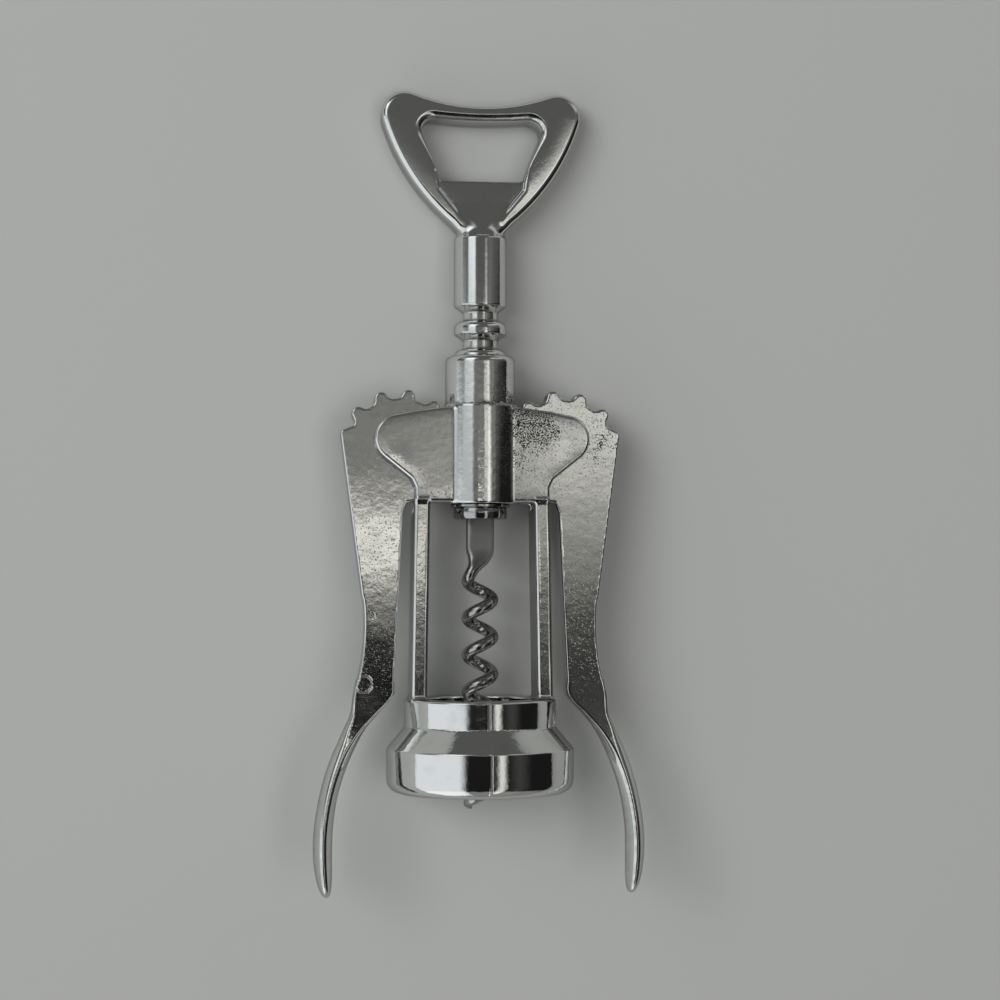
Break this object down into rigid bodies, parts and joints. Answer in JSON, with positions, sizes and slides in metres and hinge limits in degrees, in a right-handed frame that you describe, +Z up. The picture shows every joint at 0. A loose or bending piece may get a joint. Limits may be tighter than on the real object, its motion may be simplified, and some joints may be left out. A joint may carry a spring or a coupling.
{
  "type": "wing corkscrew",
  "caption": "Wing corkscrew with a bottle-opener head, a ringed rack on its stem, a helix worm and two geared levers that rise as the worm goes down.",
  "frame": {"origin": "centre of the bell's mouth, where the screw's axis leaves it", "axes": "+X across the levers to the right, +Y level along the length towards the handle, +Z up from the table; the part lies on its back as in the picture, so the screw's axis is in the YZ plane, 6.6 degrees down towards the handle"},
  "size_m": [0.074, 0.1783, 0.0427],
  "materials": {
    "frame_chrome": "chromed zinc casting, lightly worn",
    "handle_chrome": "chromed zinc casting, lightly worn",
    "lever_chrome": "chromed zinc casting with a faint orange peel",
    "worm_steel": "nickel-plated drawn wire, dulled",
    "washer_steel": "plain steel",
    "collar_steel": "turned steel",
    "pin_steel": "plain steel"
  },
  "bodies": {
    "frame": {"frame": "frame_chrome", "left_pivot_pin": "pin_steel", "right_pivot_pin": "pin_steel"},
    "stop_ring": {"stop_washer": "washer_steel"},
    "handle": {"handle": "handle_chrome", "worm": "worm_steel", "end_collar": "collar_steel"},
    "left_lever": {"left_lever": "lever_chrome"},
    "right_lever": {"right_lever": "lever_chrome"}
  },
  "joints": [
    {"name": "rack_slide", "type": "slide", "parent": "frame", "child": "stop_ring", "axis": [0, -0.9933, 0.1153], "range_m": [0, 0.0269]},
    {"name": "handle_spin", "type": "hinge", "parent": "stop_ring", "child": "handle", "pos_m": [0, 0.09933, -0.01153], "axis": [0, 0.9933, -0.1153], "continuous": true},
    {"name": "left_lever_pivot", "type": "hinge", "parent": "frame", "child": "left_lever", "pos_m": [-0.0182, 0.0751, -0.00872], "axis": [0, -0.1153, -0.9933], "range_deg": [0, 120.71]},
    {"name": "right_lever_pivot", "type": "hinge", "parent": "frame", "child": "right_lever", "pos_m": [0.0182, 0.0751, -0.00872], "axis": [0, 0.1153, 0.9933], "range_deg": [0, 120.71]}
  ],
  "couplings": [
    {"joint": "left_lever_pivot", "follows": "rack_slide", "rad_per_m": 78.311},
    {"joint": "right_lever_pivot", "follows": "rack_slide", "rad_per_m": 78.311}
  ]
}
